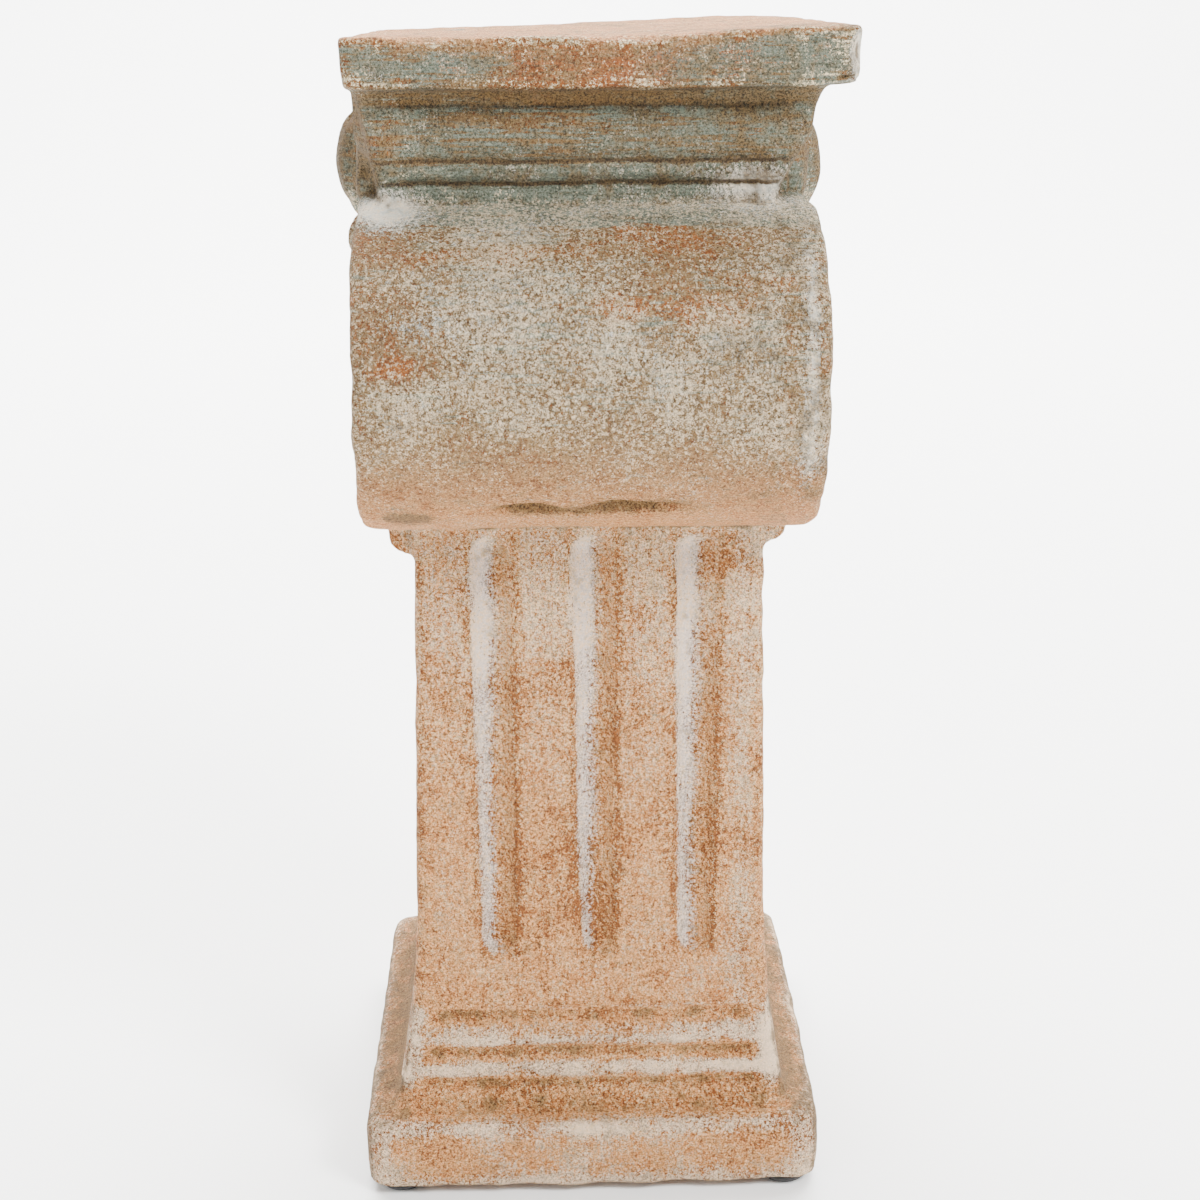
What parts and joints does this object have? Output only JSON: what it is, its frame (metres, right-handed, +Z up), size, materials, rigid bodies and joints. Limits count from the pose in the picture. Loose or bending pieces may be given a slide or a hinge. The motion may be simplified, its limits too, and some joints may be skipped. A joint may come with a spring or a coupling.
{
  "type": "column",
  "caption": "Small square Ionic-style column of distressed painted clay with fluted shaft, scroll capital, moulded base and rubber feet.",
  "frame": {"origin": "on the ground under the middle of the column, at the feet's undersides", "axes": "+Z up the column; -Y is the roll face that the picture shows; the carved volutes face -X and +X"},
  "size_m": [0.1506, 0.1899, 0.3628],
  "materials": {
    "painted_clay": "matte, layered worn paint over fired clay",
    "black_rubber": "matte"
  },
  "bodies": {
    "root": {"column_body": "painted_clay", "foot_front_left": "black_rubber", "foot_front_right": "black_rubber", "foot_back_left": "black_rubber", "foot_back_right": "black_rubber"}
  },
  "joints": []
}
